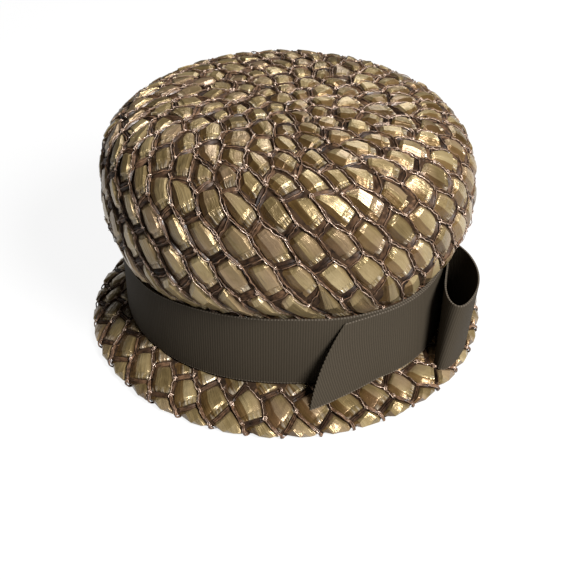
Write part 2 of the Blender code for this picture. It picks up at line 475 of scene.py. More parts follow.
puffSettings = {
    "down": [-0.88, -0.68, -0.06, 0.50, 0.66, 0.90],      # stations along the strip, the upper end at -1
    "downRise": [0.46, 0.90, 1.00, 0.94, 0.58, 0.62],
    "across": [-0.90, -0.30, 0.10, 0.66, 0.90],           # stations across it, the left side at -1
    "acrossRise": [0.30, 0.96, 1.00, 0.92, 0.40],
    "sideInset": 0.0008, "endInset": 0.0023,
    "low": -0.0017, "high": 0.0014,
    "tiltDown": 0.0008, "tiltAcross": 0.0007,
    "plump": (0.88, 1.06),                                # least and most of the full height
    "longestInset": 0.14,
    "creaseAngle": math.radians(17),
}
puffKinds = [
    {},
    {"acrossRise": [0.28, 0.80, 1.00, 1.02, 0.46], "downRise": [0.52, 0.84, 1.00, 0.98, 0.52, 0.70]},
    {"acrossRise": [0.38, 1.00, 0.96, 0.74, 0.30], "downRise": [0.56, 0.98, 0.98, 0.84, 0.50, 0.58]},
    {"across": [-0.90, -0.46, 0.02, 0.68, 0.90], "acrossRise": [0.34, 0.98, 1.00, 0.94, 0.42]},
    {"across": [-0.88, -0.06, 0.34, 0.70, 0.90], "acrossRise": [0.22, 0.98, 1.00, 0.88, 0.38]},
    {"down": [-0.90, -0.74, -0.34, 0.28, 0.54, 0.88], "downRise": [0.40, 0.60, 1.00, 0.98, 0.62, 0.66]},
    {"across": [-0.88, -0.18, 0.20, 0.68, 0.90], "downRise": [0.60, 1.02, 0.94, 0.80, 0.50, 0.64]},
]


def makePuff(settings):
    # one puff of folded strip: x runs down it, y across it, and z rises from 0 at the tucked edge to 1
    down, across = settings["down"], settings["across"]
    bpy.ops.object.select_all(action="DESELECT")
    bpy.ops.mesh.primitive_grid_add(x_subdivisions=len(down) + 1, y_subdivisions=len(across) + 1, size=2)
    obj = bpy.context.object
    bpy.context.tool_settings.mesh_select_mode = (True, False, False)
    bpy.ops.object.mode_set(mode="EDIT")
    selectWhere(obj, lambda x, y, z: abs(x) < 0.99 and abs(y) < 0.99)
    bpy.ops.transform.translate(value=(0, 0, 1))
    for axis, stations, rises in ((0, down, settings["downRise"]), (1, across, settings["acrossRise"])):
        step = 2 / (len(stations) + 1)
        evenly = [-1 + step * (i + 1) for i in range(len(stations))]
        for old, rise in zip(evenly, rises):
            onLine = nearLine(axis, old)
            selectWhere(obj, lambda *place: onLine(*place) and place[2] > 0.01)
            bpy.ops.transform.resize(value=(1, 1, rise), center_override=(0, 0, 0))
        moves = sorted(zip(evenly, stations), key=lambda move: -abs(move[0]))
        for old, new in moves:
            shift = [0, 0, 0]
            shift[axis] = new - old
            selectWhere(obj, nearLine(axis, old))
            bpy.ops.transform.translate(value=shift)
    bpy.ops.object.mode_set(mode="OBJECT")
    return takeBlank(obj)


def gather(store, blank, place, tint):
    start = len(store["verts"])
    for (x, y, z), uv in zip(blank["verts"], blank["uvs"]):
        store["verts"].append(place(x, y, z))
        store["uvs"].append(uv)
        store["tints"].append(tint)
    for face in blank["faces"]:
        store["faces"].append(tuple(start + i for i in face))


def newStore():
    return {"verts": [], "faces": [], "uvs": [], "tints": []}


def buildPiece(name, store, smoothAngle, flip=False):
    mesh = bpy.data.meshes.new(name)
    faces = [face[::-1] for face in store["faces"]] if flip else store["faces"]
    mesh.from_pydata(store["verts"], [], faces)
    layer = mesh.uv_layers.new(name="cell")
    for loop in mesh.loops:
        layer.data[loop.index].uv = store["uvs"][loop.vertex_index]
    tint = mesh.attributes.new("tint", "FLOAT", "POINT")
    tint.data.foreach_set("value", store["tints"])
    mesh.update()
    obj = bpy.data.objects.new(name, mesh)
    bpy.context.scene.collection.objects.link(obj)
    onlySelect(obj)
    bpy.ops.object.shade_smooth_by_angle(angle=smoothAngle)
    return obj


def addPuffs(name, weave, blanks, settings, flip=False):
    store = newStore()
    high = weave["high"]
    for site in weave["cells"]:
        first, second = splitCell(site)
        blank = blanks[int(site["tint"] * 997) % len(blanks)]
        ends = [point[0] for point in site["corners"]]
        length = max(ends) - min(ends)
        endInset = min(settings["endInset"], settings["longestInset"] * length)
        shrink = 1 - 2 * endInset / length
        tiltDown = dice.uniform(-1, 1) * settings["tiltDown"]
        tiltAcross = dice.uniform(-1, 1) * settings["tiltAcross"]
        puff = dice.uniform(*settings["plump"])

        def put(x, y, z):
            share = x * shrink / 2 + 0.5
            a, b = alongChain(first, share), alongChain(second, share)
            width = max(math.hypot(b[0] - a[0], b[1] - a[1]), 1e-6)
            across = y * max(1 - 2 * settings["sideInset"] / width, 0.2) / 2 + 0.5
            angle, t = localToSurface(site, mix(a[0], b[0], across), mix(a[1], b[1], across))
            free = ease((high(t) + 0.0002) / 0.0010)    # pressed puffs stay level
            tilt = (x * tiltDown + y * tiltAcross) * (z > 0.2) * free
            return weave["place"](angle, t, mix(settings["low"], high(t), z * puff) + tilt)

        gather(store, blank, put, site["tint"])
    return buildPiece(name, store, settings["creaseAngle"], flip)


strapSettings = {
    "endWidth": 0.0058,       # flat strap between two cells of one strip
    "sideWidth": 0.0019,      # binding along the sides
    "overlap": 0.0010,
    "twist": 0.25,            # of the width, from one end to the other
    "low": -0.0019, "endLift": 0.0003, "sideLift": -0.0002,
    "below": 0.0004,          # the strips' height
    "creaseAngle": math.radians(30),
    "ridges": [0.45, 0.95, 0.60, 1.00, 0.50],
}


def makeStrap(settings):
    # gathered strand: x along it and y across it, with ridges lengthwise and both ends tucked under
    ridges = settings["ridges"]
    bpy.ops.object.select_all(action="DESELECT")
    bpy.ops.mesh.primitive_grid_add(x_subdivisions=4, y_subdivisions=len(ridges) + 1, size=2)
    obj = bpy.context.object
    bpy.context.tool_settings.mesh_select_mode = (True, False, False)
    bpy.ops.object.mode_set(mode="EDIT")
    step = 2 / (len(ridges) + 1)
    for i, rise in enumerate(ridges):
        selectWhere(obj, lambda x, y, z: abs(y + 1 - step * (i + 1)) < 0.02 and abs(x) < 0.99)
        bpy.ops.transform.translate(value=(0, 0, rise))
    selectWhere(obj, lambda x, y, z: 0.3 < abs(x) < 0.99)
    bpy.ops.transform.resize(value=(1, 1, 0.85), center_override=(0, 0, 0))
    bpy.ops.object.mode_set(mode="OBJECT")
    return takeBlank(obj)


def cellEdges(site):
    # (start, stop, kind) for the edges that this cell owns: its lower end and its right-hand sides
    corners, labels = site["corners"], site["labels"]
    owned = []
    for i, label in enumerate(labels):
        start, stop = corners[i], corners[(i + 1) % len(corners)]
        if label is None or math.hypot(stop[0] - start[0], stop[1] - start[1]) < weaveLayout["shortestEdge"]:
            continue
        u, v = label
        if abs(u) > weaveLayout["endLean"] * abs(v):
            if u > 0:
                owned.append((start, stop, "end"))
        elif v > 0:
            owned.append((start, stop, "side"))
    return owned


def addStraps(name, weave, blank, settings, only):
    store = newStore()
    high = weave["high"]
    for site in weave["cells"]:
        for start, stop, kind in cellEdges(site):
            if kind != only:
                continue
            length = math.hypot(stop[0] - start[0], stop[1] - start[1])
            half = settings["endWidth" if kind == "end" else "sideWidth"] / 2
            reach = 1 + 2 * settings["overlap"] / length
            dirU, dirV = (stop[0] - start[0]) / length, (stop[1] - start[1]) / length
            midU, midV = (start[0] + stop[0]) / 2, (start[1] + stop[1]) / 2
            rise = settings["endLift"] if kind == "end" else settings["sideLift"]
            twist = dice.uniform(-settings["twist"], settings["twist"])

            def put(x, y, z):
                run, off = x * reach * length / 2, y * half * (1 + twist * x)
                u, v = midU + dirU * run - dirV * off, midV + dirV * run + dirU * off
                angle, t = localToSurface(site, u, v)
                top = min(rise, high(t) - settings["below"])
                return weave["place"](angle, t, mix(settings["low"], top, z))

            gather(store, blank, put, dice.random())
    return buildPiece(name, store, settings["creaseAngle"])


threadSettings = {
    "brightRadius": 0.00021,
    "darkRadius": 0.00028,
    "lift": 0.0006,
    "sway": 0.0006,       # how far a thread bows off the edge it follows
    "kink": 0.00042,      # and how far it wanders on the way
    "points": 8,
    "overrun": 0.0006, "endLift": -0.0004,
    "uneven": (0.55, 1.3),
    "tangleRadius": 0.00024, "tangleReach": 0.0011, "tangleStrands": 3, "tangleLift": 0.0007,
    "tangleFoot": -0.0003, "tangleUneven": (0.6, 1.2),
    "tangleRoom": 0.0006,       # no tangles where the strips are pressed lower than this
}


def newThreads(name, radius):
    curve = bpy.data.curves.new(name, "CURVE")
    curve.dimensions = "3D"
    curve.bevel_depth = radius
    curve.bevel_resolution = 0
    curve.use_fill_caps = True
    return curve


def finishThreads(name, curve):
    obj = bpy.data.objects.new(name, curve)
    bpy.context.scene.collection.objects.link(obj)
    onlySelect(obj)
    bpy.ops.object.convert(target="MESH")
    bpy.ops.object.shade_smooth()
    return bpy.context.object


def addStrand(curve, points, radii):
    spline = curve.splines.new("POLY")
    spline.points.add(len(points) - 1)
    for point, (place, radius) in zip(spline.points, zip(points, radii)):
        point.co = (*place, 1.0)
        point.radius = radius


def addThreads(name, weave, radius, settings, offset, endsToo=False, keepShare=1.0):
    curve = newThreads(name, radius)
    for site in weave["cells"]:
        for start, stop, kind in cellEdges(site):
            if kind == "end" and not endsToo or dice.random() > keepShare:
                continue
            length = math.hypot(stop[0] - start[0], stop[1] - start[1])
            dirU, dirV = (stop[0] - start[0]) / length, (stop[1] - start[1]) / length
            sway = dice.uniform(-1, 1) * settings["sway"]
            points = []
            for k in range(settings["points"]):
                share = k / (settings["points"] - 1)
                bow = math.sin(share * math.pi)
                run = mix(-settings["overrun"], length + settings["overrun"], share)
                off = offset + sway * bow + dice.uniform(-1, 1) * settings["kink"]
                u, v = start[0] + dirU * run - dirV * off, start[1] + dirV * run + dirU * off
                angle, t = localToSurface(site, u, v)
                lift = mix(settings["endLift"], settings["lift"], bow)
                lift += dice.uniform(-1, 1) * settings["kink"]
                x, y, z = weave["place"](angle, t, min(lift, weave["high"](t) - 1.2 * radius))
                points.append((x, y, max(z, 1.4 * radius)))
            addStrand(curve, points, [dice.uniform(*settings["uneven"]) for _ in points])
    return finishThreads(name, curve)


def addTangles(name, weave, settings, keepShare):
    # loose ends of thread where strips, straps and bindings meet
    curve = newThreads(name, settings["tangleRadius"])
    for site in weave["cells"]:
        ends = [(start, stop) for start, stop, kind in cellEdges(site) if kind == "end"]
        for corner in [corner for edge in ends for corner in edge]:
            room = weave["high"](localToSurface(site, *corner)[1])
            if dice.random() > keepShare or room < settings["tangleRoom"]:
                continue
            for _ in range(settings["tangleStrands"]):
                turn, bend = dice.uniform(0, math.tau), dice.uniform(-0.8, 0.8)
                reach = settings["tangleReach"] * dice.uniform(0.6, 1.3)
                points = []
                for k in range(5):
                    share = k / 2 - 1
                    bow = 1 - share ** 2
                    u = corner[0] + reach * (share * math.cos(turn) + bend * bow * math.sin(turn))
                    v = corner[1] + reach * (share * math.sin(turn) - bend * bow * math.cos(turn))
                    angle, t = localToSurface(site, u, v)
                    lift = mix(settings["tangleFoot"], settings["tangleLift"], bow)
                    points.append(weave["place"](angle, t, lift))
                addStrand(curve, points, [dice.uniform(*settings["tangleUneven"]) for _ in points])
    return finishThreads(name, curve)


def wrapGrid(name, place, path, down, thickness, around=96, lift=-0.0010):
    # a sheet wrapped round the hat, closed at the back seam and at the pole, and given a wall
    bpy.ops.object.select_all(action="DESELECT")
    bpy.ops.mesh.primitive_grid_add(x_subdivisions=around, y_subdivisions=down, size=2)
    obj = bpy.context.object
    obj.name = name
    for vert in obj.data.vertices:
        angle = vert.co.x * math.pi
        t = mix(0.0, path["end"], (1 - vert.co.y) / 2)
        vert.co = place(angle, t, lift)
    bpy.ops.object.mode_set(mode="EDIT")
    bpy.ops.mesh.select_all(action="SELECT")
    bpy.ops.mesh.remove_doubles(threshold=weldReach)
    bpy.ops.mesh.normals_make_consistent(inside=False)
    bpy.ops.object.mode_set(mode="OBJECT")
    wall = obj.modifiers.new("wall", "SOLIDIFY")
    wall.thickness = thickness
    wall.offset = -1
    bpy.ops.object.modifier_apply(modifier=wall.name)
    bpy.ops.object.shade_smooth()
    return obj


# materials
def newMaterial(name, roughness):
    material = bpy.data.materials.new(name)
    material.use_nodes = True
    nodes, links = material.node_tree.nodes, material.node_tree.links
    shader = nodes["Principled BSDF"]
    shader.inputs["Roughness"].default_value = roughness
    return material, nodes, links, shader


def addNode(nodes, kind, **settings):
    node = nodes.new(kind)
    for key, value in settings.items():
        setattr(node, key, value)
    return node


def mathNode(nodes, links, operation, first, second=None):
    node = addNode(nodes, "ShaderNodeMath", operation=operation)
    for socket, value in zip(node.inputs, (first, second)):
        if value is None:
            continue
        if isinstance(value, (int, float)):
            socket.default_value = value
        else:
            links.new(value, socket)
    return node.outputs[0]


def rampNode(nodes, links, source, stops):
    ramp = nodes.new("ShaderNodeValToRGB")
    links.new(source, ramp.inputs[0])
    elements = ramp.color_ramp.elements
    while len(elements) < len(stops):
        elements.new(0.5)
    for element, (position, color) in zip(elements, stops):
        element.position = position
        element.color = (*color, 1.0)
    return ramp.outputs["Color"]


def uvParts(nodes, links):
    uv = addNode(nodes, "ShaderNodeUVMap", uv_map="cell").outputs["UV"]
    split = nodes.new("ShaderNodeSeparateXYZ")
    links.new(uv, split.inputs[0])
    return split.outputs[0], split.outputs[1]


def stretchedNoise(nodes, links, along, across, seed, scales, detail):
    place = nodes.new("ShaderNodeCombineXYZ")
    links.new(mathNode(nodes, links, "MULTIPLY", along, scales[0]), place.inputs[0])
    links.new(mathNode(nodes, links, "MULTIPLY", across, scales[1]), place.inputs[1])
    if seed is not None:
        links.new(mathNode(nodes, links, "MULTIPLY", seed, scales[2]), place.inputs[2])
    noise = nodes.new("ShaderNodeTexNoise")
    noise.inputs["Scale"].default_value = 1.0
    noise.inputs["Detail"].default_value = detail
    links.new(place.outputs[0], noise.inputs["Vector"])
    return noise.outputs["Fac"]


def blend(nodes, links, kind, factor, first, second):
    node = addNode(nodes, "ShaderNodeMix", data_type="RGBA", blend_type=kind)
    for socket, value in ((node.inputs["Factor"], factor), (node.inputs[6], first), (node.inputs[7], second)):
        if isinstance(value, (int, float)):
            socket.default_value = value
        elif isinstance(value, tuple):
            socket.default_value = (*value, 1.0)
        else:
            links.new(value, socket)
    return node.outputs[2]


def nodeTools(nodes, links):
    # the sums and mixes that the patterns are made of
    def plus(first, second):
        return mathNode(nodes, links, "ADD", first, second)

    def times(first, second):
        return mathNode(nodes, links, "MULTIPLY", first, second)

    def ramp(source, *stops):
        return rampNode(nodes, links, source, stops)

    def mixed(kind, factor, first, second):
        return blend(nodes, links, kind, factor, first, second)

    return plus, times, ramp, mixed


def addBump(nodes, links, shader, height, distance):
    bump = nodes.new("ShaderNodeBump")
    bump.inputs["Distance"].default_value = distance
    links.new(height, bump.inputs["Height"])
    links.new(bump.outputs[0], shader.inputs["Normal"])


black, white = (0, 0, 0), (1, 1, 1)


def strawMaterial(name, look):
    material, nodes, links, shader = newMaterial(name, look["roughness"])
    plus, times, ramp, mixed = nodeTools(nodes, links)
    tint = addNode(nodes, "ShaderNodeAttribute", attribute_name="tint").outputs["Fac"]
    along, across = uvParts(nodes, links)

    def noise(scales, detail):
        return stretchedNoise(nodes, links, along, across, tint, scales, detail)

    fiber = noise((1.6, 26.0, 83.0), 3.0)
    blotch = noise((3.2, 2.6, 47.0), 2.0)
    streak = noise((1.6, 13.0, 29.0), 2.0)
    crinkle = noise((7.0, 8.0, 61.0), 3.0)
    tone = plus(times(fiber, 0.35), times(blotch, 0.65))
    tone = plus(times(tone, 0.7), times(tint, 0.3))
    color = ramp(tone, (0.25, look["dark"]), (0.5, look["middle"]), (0.78, look["light"]))
    blush = ramp(noise((1.3, 1.1, 91.0), 1.0), (0.48, black), (0.68, white))
    color = mixed("MIX", times(blush, look["blushShare"]), color, look["blush"])
    # the folded left side is made darker with painted shade; the edges get painted shade where the strip
    # dives under the binding
    side = ramp(across, (0.04, look["edge"]), (0.14, look["foldShade"]), (0.32, look["foldShade"]), (0.34, white),
                (0.70, white), (0.95, look["edge"]))
    color = mixed("MULTIPLY", 1.0, color, side)
    # painted shade at both ends, where the strip dives under the straps
    end = ramp(along, (0.02, look["edge"]), (0.16, white), (0.90, white), (0.99, look["edge"]))
    color = mixed("MULTIPLY", 1.0, color, end)
    # pale streaks where the lower end is gathered: partly the gathered film's own lighter colour, partly
    # painted highlights on its creases
    gathered = ramp(along, (0.62, black), (0.80, white), (0.93, white), (0.99, black))
    pale = times(gathered, ramp(streak, (0.50, black), (0.66, white)))
    color = mixed("MIX", times(pale, look["paleShare"]), color, look["pale"])
    links.new(color, shader.inputs["Base Color"])
    height = plus(times(fiber, 0.35), times(blotch, 1.3))
    height = plus(height, times(streak, times(gathered, 1.6)))
    height = plus(height, times(crinkle, look["crinkle"]))
    addBump(nodes, links, shader, height, look["bump"])
    shader.inputs["Coat Weight"].default_value = look["coat"]
    shader.inputs["Coat Roughness"].default_value = look["coatRoughness"]
    shader.inputs["Specular IOR Level"].default_value = look["specular"]
    shader.inputs["Metallic"].default_value = look["metallic"]
    return material


def strandMaterial(name, look):
    material, nodes, links, shader = newMaterial(name, look["roughness"])
    place = nodes.new("ShaderNodeTexCoord").outputs["Object"]
    noise = nodes.new("ShaderNodeTexNoise")
    noise.inputs["Scale"].default_value = look["scale"]
    noise.inputs["Detail"].default_value = 4.0
    links.new(place, noise.inputs["Vector"])
    color = rampNode(nodes, links, noise.outputs["Fac"], [(0.3, look["dark"]), (0.7, look["light"])])
    if "deep" in look:
        # some strands are darker than others
        tint = addNode(nodes, "ShaderNodeAttribute", attribute_name="tint").outputs["Fac"]
        depth = rampNode(nodes, links, tint, [(0.1, look["deep"]), (0.9, white)])
        color = blend(nodes, links, "MULTIPLY", 1.0, color, depth)
    links.new(color, shader.inputs["Base Color"])
    addBump(nodes, links, shader, noise.outputs["Fac"], 0.00025)
    shader.inputs["Metallic"].default_value = look["metallic"]
    shader.inputs["Coat Weight"].default_value = look["coat"]
    shader.inputs["Specular IOR Level"].default_value = look["specular"]
    return material


def ribbonMaterial(name, look):
    material, nodes, links, shader = newMaterial(name, look["roughness"])
    plus, times, ramp, mixed = nodeTools(nodes, links)
    along, across = uvParts(nodes, links)

    def wave(pitch):
        return mathNode(nodes, links, "SINE", times(along, math.tau / pitch))

    # darker between the ribs: the groove colour is painted shade in the grosgrain's grooves
    ribShare = times(plus(wave(look["ribPitch"]), 1.0), 0.5)
    thread = stretchedNoise(nodes, links, along, across, None, (420.0, 60.0, 0.0), 3.0)
    tone = plus(times(ribShare, 0.6), times(thread, 0.4))
    color = ramp(tone, (0.15, look["grooveShade"]), (0.8, look["rib"]))
    # loops of thread along both selvedges
    edge = mathNode(nodes, links, "ABSOLUTE", mathNode(nodes, links, "SUBTRACT", across, 0.5))
    loops = wave(look["loopPitch"])
    selvedge = times(ramp(edge, (0.484, black), (0.488, white)),
                     ramp(loops, (0.0, (0.15, 0.15, 0.15)), (0.5, white)))
    color = mixed("MIX", selvedge, color, look["selvedge"])
    links.new(color, shader.inputs["Base Color"])
    addBump(nodes, links, shader, plus(ribShare, times(thread, 0.3)), look["bump"])
    shader.inputs["Specular IOR Level"].default_value = look["specular"]
    return material


# edge and fold are colours of painted shade, multiplied in at the straw's edges, ends and folded side
goldLook = {
    "dark": (0.108, 0.073, 0.029), "middle": (0.236, 0.170, 0.076), "light": (0.385, 0.298, 0.156),
    "edge": (0.24, 0.145, 0.09), "foldShade": (0.50, 0.40, 0.29), "pale": (0.60, 0.52, 0.40), "paleShare": 0.55,
    "blush": (0.300, 0.200, 0.130), "blushShare": 0.55, "bump": 0.0008, "crinkle": 0.6,
    "roughness": 0.31, "coat": 0.15, "coatRoughness": 0.25, "specular": 0.4, "metallic": 0.48,
}
innerLook = {**goldLook, "roughness": 0.5, "coat": 0.1, "bump": 0.0004, "paleShare": 0.2}
bindingLook = {
    "dark": (0.020, 0.010, 0.006), "light": (0.200, 0.112, 0.062), "scale": 380.0, "deep": (0.5, 0.5, 0.5),
    "roughness": 0.45, "metallic": 0.0, "coat": 0.10, "specular": 0.4,
}
strapLook = {
    "dark": (0.014, 0.007, 0.004), "light": (0.150, 0.083, 0.045), "scale": 300.0, "deep": (0.22, 0.20, 0.20),
    "roughness": 0.50, "metallic": 0.0, "coat": 0.0, "specular": 0.18,
}
brightLook = {
    "dark": (0.075, 0.038, 0.022), "light": (0.74, 0.55, 0.42), "scale": 800.0,
    "roughness": 0.28, "metallic": 0.3, "coat": 0.4, "specular": 0.5,
}
cordLook = {key: value for key, value in bindingLook.items() if key != "deep"}
# near black: the weave's underlayer seen in the gaps between strips, darkened with painted shade
shadedShellLook = {
    "dark": (0.009, 0.005, 0.003), "light": (0.045, 0.025, 0.013), "scale": 260.0,
    "roughness": 0.9, "metallic": 0.0, "coat": 0.0, "specular": 0.1,
}
ribbonLook = {
    "grooveShade": (0.0250, 0.0196, 0.0128), "rib": (0.0395, 0.0310, 0.0210), "selvedge": (0.095, 0.078, 0.060),
    "ribPitch": 0.00135, "loopPitch": 0.0017, "bump": 0.00008, "roughness": 0.82, "specular": 0.12,
}

goldStraw = strawMaterial("goldStraw", goldLook)
innerStraw = strawMaterial("innerStraw", innerLook)
brownBinding = strandMaterial("brownBinding", bindingLook)
brownCord = strandMaterial("brownCord", cordLook)
darkStrap = strandMaterial("darkStrap", strapLook)
brightThread = strandMaterial("brightThread", brightLook)
shadedUnderWeave = strandMaterial("shadedUnderWeave", shadedShellLook)
grosgrain = ribbonMaterial("grosgrain", ribbonLook)
print("materials ready")


# woven crown
def finishPiece(obj, material, slot, *nodes):
    obj.data.materials.clear()
    obj.data.materials.append(material)
    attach(obj, "root")
    if nodes:
        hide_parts(*nodes)


pressed = {"lift": -0.0011, "before": 0.0008, "run": 0.0030}      # crown strips at the ribbon's upper edge
turned = {
    "high": 0.0013,                                           # brim strips
    "edgeAt": 0.0260, "edgeRun": 0.005,                       # from here on lower, to nothing underneath
    "sunk": 0.0024, "sunkUpTo": 0.0048, "sunkRun": 0.003,     # under the ribbon
}


def crownHigh(t):
    # strips go flat where the ribbon presses them to the wall
    start = crownPath["end"] - (form["bandTop"] - form["footZ"])
    return mix(puffSettings["high"], pressed["lift"], ease((t - start + pressed["before"]) / pressed["run"]))


def brimHigh(t):
    # fuller on top and round the edge, flush underneath so that the hat stands on the turned edge
    under = turned["sunk"] * ease((turned["sunkUpTo"] - t) / turned["sunkRun"])
    return mix(turned["high"], 0.0, ease((t - turned["edgeAt"]) / turned["edgeRun"])) - under


crownWeave = {"cells": shapeCells(crownPath, layCrownSites()), "place": placeOnCrown, "high": crownHigh}
brimWeave = {"cells": shapeCells(brimPath, layBrimSites()), "place": placeOnBrim, "high": brimHigh}
print("cells:", len(crownWeave["cells"]), "on the crown,", len(brimWeave["cells"]), "on the brim")

puffs = [makePuff({**puffSettings, **kind}) for kind in puffKinds]
innerPuff = makePuff({"down": [-0.7, 0.6], "downRise": [1.0, 0.9],
                      "across": [-0.6, 0.6], "acrossRise": [0.9, 1.0]})
strap = makeStrap(strapSettings)
innerSettings = {**puffSettings, "low": -0.0015, "sideInset": 0.0006, "endInset": 0.0012}
innerWeave = {**crownWeave, "high": lambda t: -0.0026}
bright, dark = threadSettings["brightRadius"], threadSettings["darkRadius"]

finishPiece(addPuffs("crownStrips", crownWeave, puffs, puffSettings), goldStraw, "straw", "crown")
finishPiece(addPuffs("crownInnerStrips", innerWeave, [innerPuff], innerSettings, flip=True), innerStraw,
            "straw", "crown")
finishPiece(addStraps("crownStraps", crownWeave, strap, strapSettings, "end"), darkStrap, "straw", "crown")
finishPiece(addStraps("crownBinding", crownWeave, strap, strapSettings, "side"), brownBinding,
            "straw", "crown")
finishPiece(addThreads("crownBrightThreads", crownWeave, bright, threadSettings, 0.0004, keepShare=0.9),
            brightThread, "straw", "crown")
finishPiece(addThreads("crownDarkThreads", crownWeave, dark, threadSettings, -0.0006, endsToo=True),
            brownCord, "straw", "crown")
finishPiece(addTangles("crownTangles", crownWeave, threadSettings, 0.55), brightThread, "straw", "crown")
finishPiece(wrapGrid("crownShadedUnderWeave", placeOnCrown, crownPath, 64, 0.0010), shadedUnderWeave, "straw", "crown")
print("crown woven")

# woven brim
brimPuffSettings = {**innerSettings, "tiltDown": 0.0005, "tiltAcross": 0.0005,
                    "creaseAngle": math.radians(38)}
brimStrapSettings = {**strapSettings, "endWidth": 0.0027, "sideWidth": 0.0014}
brimTangleSettings = {**threadSettings, "tangleRadius": 0.00026}
rimSettings = {
    **threadSettings, "lift": 0.0007, "sway": 0.0002, "kink": 0.00012, "points": 10,
    "row": 2, "radius": 0.00038, "offsets": (-0.0005, 0.0, 0.0005),
    "high": 0.0016, "edgeAt": 0.0275, "edgeRun": 0.004,
}
finishPiece(addPuffs("brimStrips", brimWeave, puffs, brimPuffSettings), goldStraw, "straw", "brim")
finishPiece(addStraps("brimStraps", brimWeave, strap, brimStrapSettings, "end"), darkStrap, "straw", "brim")
finishPiece(addStraps("brimBinding", brimWeave, strap, brimStrapSettings, "side"), brownBinding,
            "straw", "brim")
finishPiece(addThreads("brimBrightThreads", brimWeave, bright, threadSettings, 0.0004, keepShare=0.8),
            brightThread, "straw", "brim")


def rimHigh(t):
    return mix(rimSettings["high"], 0.0, ease((t - rimSettings["edgeAt"]) / rimSettings["edgeRun"]))


rimRow = weaveLayout["brimRows"][rimSettings["row"]][0]
rimCells = [site for site in brimWeave["cells"] if abs(site["t"] - rimRow) < 0.004]
rimWeave = {"cells": rimCells, "place": placeOnBrim, "high": rimHigh}
for index, offset in enumerate(rimSettings["offsets"]):
    name = "rimBinding" + str(index + 1)
    finishPiece(addThreads(name, rimWeave, rimSettings["radius"], rimSettings, offset), brownCord,
                "straw", "brim")
finishPiece(addTangles("brimTangles", brimWeave, brimTangleSettings, 0.6), brightThread, "straw", "brim")
finishPiece(wrapGrid("brimShadedUnderWeave", placeOnBrim, brimPath, 60, 0.0004), shadedUnderWeave, "straw", "brim")
print("brim woven")

# ribbon
ribbon = {
    "width": 0.0400, "thickness": 0.0009, "laidShare": 0.9,    # of the thickness, so that layers stay apart
    "slack": 0.0001, "ripples": [(0.00018, 7, 1.0), (0.00012, 17, 0.0)],
    "tailSteps": 80, "tailRows": 44, "flareFrom": 0.7, "flareRun": 0.3, "flareBend": 1.4, "standBy": 0.85,
    "tailRoot": 88.0, "tailTip": 6.5, "tailCorner": 19.0, "tipFlare": 0.0133, "bodyStand": 0.0045,
    "cutBow": 0.0028, "cutTeeth": 0.0004,
    "loopRoot": 86.0, "loopNose": 52.0, "loopFootNose": 48.5, "loopReach": 0.0210, "loopSplay": 0.0030,
    # the loop seen from above: share of the way to its nose, and share of its reach
    "loopPlan": [(0.00, 0.00), (0.20, 0.02), (0.45, 0.05), (0.68, 0.14), (0.85, 0.30), (0.96, 0.52),
                 (1.00, 0.75), (0.97, 0.93), (0.86, 1.00), (0.66, 0.97), (0.44, 0.83), (0.24, 0.58),
                 (0.10, 0.28), (0.00, 0.00)],
}


def aroundBand(angle, stand, height):
    turn = math.radians(angle)
    reach = form["bandOuter"] + stand + lineAt("out", turn)
    return Vector((reach * math.sin(turn), -(reach - form["depthLoss"]) * math.cos(turn), height))


def brimHeight(x, y):
    near, far = 0.0, 1.0
    for _ in range(24):
        share = (near + far) / 2
        radius = form["bandOuter"] + form["slopeRunSide"] * share
        if (x / radius) ** 2 + (y / frontReach(radius)) ** 2 > 1:
            near = share
        else:
            far = share
    return slopeHeight(near) - lineAt("footDip", math.atan2(x, -y)) * (1 - near)


def ribbonEdges(lowAngle, lowStand, highAngle, highStand):
    point = aroundBand(lowAngle, max(lowStand - ribbon["thickness"], 0.0), 0.0)
    low = aroundBand(lowAngle, lowStand, brimHeight(point.x, point.y) + form["gap"])
    point = aroundBand(highAngle, max(lowStand - ribbon["thickness"], 0.0), 0.0)
    rise = math.sqrt(ribbon["width"] ** 2 - (highStand - lowStand) ** 2)
    return low, aroundBand(highAngle, highStand, brimHeight(point.x, point.y) + form["gap"] + rise)


def tailStand(angle):
    toTip = (ribbon["tailRoot"] - angle) / (ribbon["tailRoot"] - ribbon["tailTip"])
    flared = max((toTip - ribbon["flareFrom"]) / ribbon["flareRun"], 0.0) ** ribbon["flareBend"]
    return form["gap"] + ribbon["bodyStand"] * ease(toTip / ribbon["standBy"]) + ribbon["tipFlare"] * flared


def smoothRoute(points, steps):
    # a smooth curve through all the points
    route = []
    padded = [points[0]] + points + [points[-1]]
    for before, start, end, after in zip(padded, padded[1:], padded[2:], padded[3:]):
        for step in range(steps):
            t = step / steps
            route.append([(2 * b + (c - a) * t + (2 * a - 5 * b + 4 * c - d) * t ** 2
                           + (3 * b - a - 3 * c + d) * t ** 3) / 2
                          for a, b, c, d in zip(before, start, end, after)])
    return route + [list(points[-1])]


